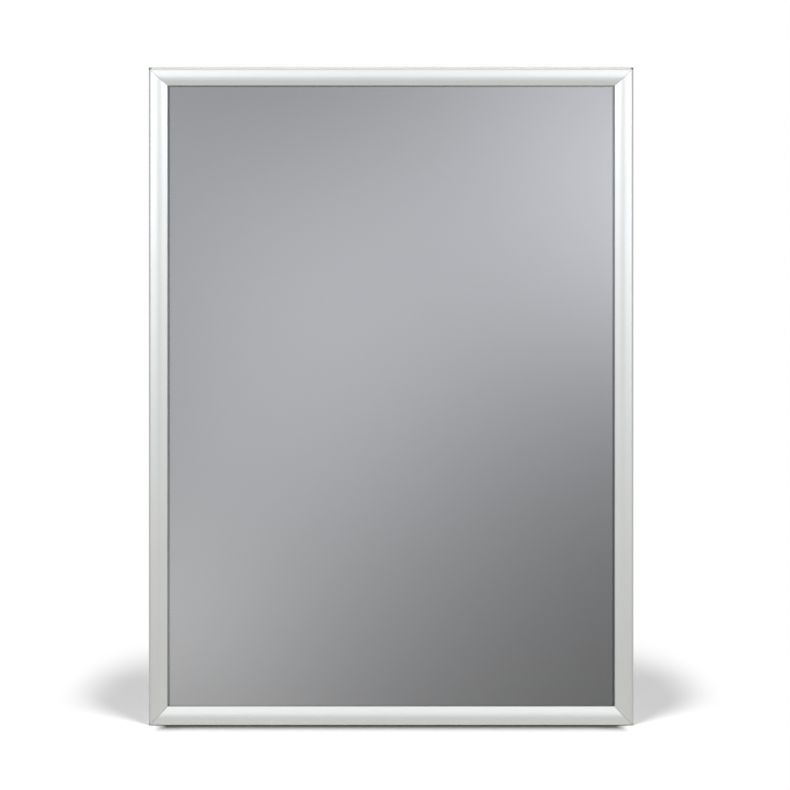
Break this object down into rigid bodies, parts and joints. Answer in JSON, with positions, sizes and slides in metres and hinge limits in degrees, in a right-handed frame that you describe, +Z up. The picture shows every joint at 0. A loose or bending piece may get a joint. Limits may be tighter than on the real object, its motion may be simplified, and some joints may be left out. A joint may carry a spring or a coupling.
{
  "type": "poster frame",
  "caption": "Aluminium snap frame for an A1 poster: mitred rails whose fronts hinge open on springs, a grey back panel and a clear cover sheet.",
  "frame": {"origin": "under the middle of the bottom edge, half way through the frame's depth", "axes": "+Z up along the long side, +X along the bottom edge to the right seen from the front, +Y from the front to the back, so the front faces -Y"},
  "size_m": [0.624, 0.0116, 0.871],
  "materials": {
    "anodised_aluminium": "satin",
    "zinc_steel": "satin",
    "spring_steel": "satin",
    "grey_polystyrene": "matte",
    "clear_film": "matte"
  },
  "bodies": {
    "base": {"rear_rail_bottom": "anodised_aluminium", "spring_bottom_1": "spring_steel", "spring_bottom_2": "spring_steel", "spring_bottom_3": "spring_steel", "rear_rail_right": "anodised_aluminium", "spring_right_1": "spring_steel", "spring_right_2": "spring_steel", "spring_right_3": "spring_steel", "spring_right_4": "spring_steel", "rear_rail_top": "anodised_aluminium", "spring_top_1": "spring_steel", "spring_top_2": "spring_steel", "spring_top_3": "spring_steel", "rear_rail_left": "anodised_aluminium", "spring_left_1": "spring_steel", "spring_left_2": "spring_steel", "spring_left_3": "spring_steel", "spring_left_4": "spring_steel", "corner_key_bottom_left": "zinc_steel", "key_screw_bottom_left_1": "zinc_steel", "key_screw_bottom_left_2": "zinc_steel", "corner_key_bottom_right": "zinc_steel", "key_screw_bottom_right_1": "zinc_steel", "key_screw_bottom_right_2": "zinc_steel", "corner_key_top_right": "zinc_steel", "key_screw_top_right_1": "zinc_steel", "key_screw_top_right_2": "zinc_steel", "corner_key_top_left": "zinc_steel", "key_screw_top_left_1": "zinc_steel", "key_screw_top_left_2": "zinc_steel", "back_panel": "grey_polystyrene", "cover_sheet": "clear_film"},
    "bottom_rail": {"front_rail_bottom": "anodised_aluminium"},
    "right_rail": {"front_rail_right": "anodised_aluminium"},
    "top_rail": {"front_rail_top": "anodised_aluminium"},
    "left_rail": {"front_rail_left": "anodised_aluminium"}
  },
  "joints": [
    {"name": "bottom_hinge", "type": "hinge", "parent": "base", "child": "bottom_rail", "pos_m": [0, -0.00285, 0.0029], "axis": [1, 0, 0], "range_deg": [0, 85], "deforming": ["spring_bottom_1", "spring_bottom_2", "spring_bottom_3"]},
    {"name": "right_hinge", "type": "hinge", "parent": "base", "child": "right_rail", "pos_m": [0.3091, -0.00285, 0.4355], "axis": [0, 0, 1], "range_deg": [0, 85], "deforming": ["spring_right_1", "spring_right_2", "spring_right_3", "spring_right_4"]},
    {"name": "top_hinge", "type": "hinge", "parent": "base", "child": "top_rail", "pos_m": [0, -0.00285, 0.8681], "axis": [-1, 0, 0], "range_deg": [0, 85], "deforming": ["spring_top_1", "spring_top_2", "spring_top_3"]},
    {"name": "left_hinge", "type": "hinge", "parent": "base", "child": "left_rail", "pos_m": [-0.3091, -0.00285, 0.4355], "axis": [0, 0, -1], "range_deg": [0, 85], "deforming": ["spring_left_1", "spring_left_2", "spring_left_3", "spring_left_4"]}
  ]
}
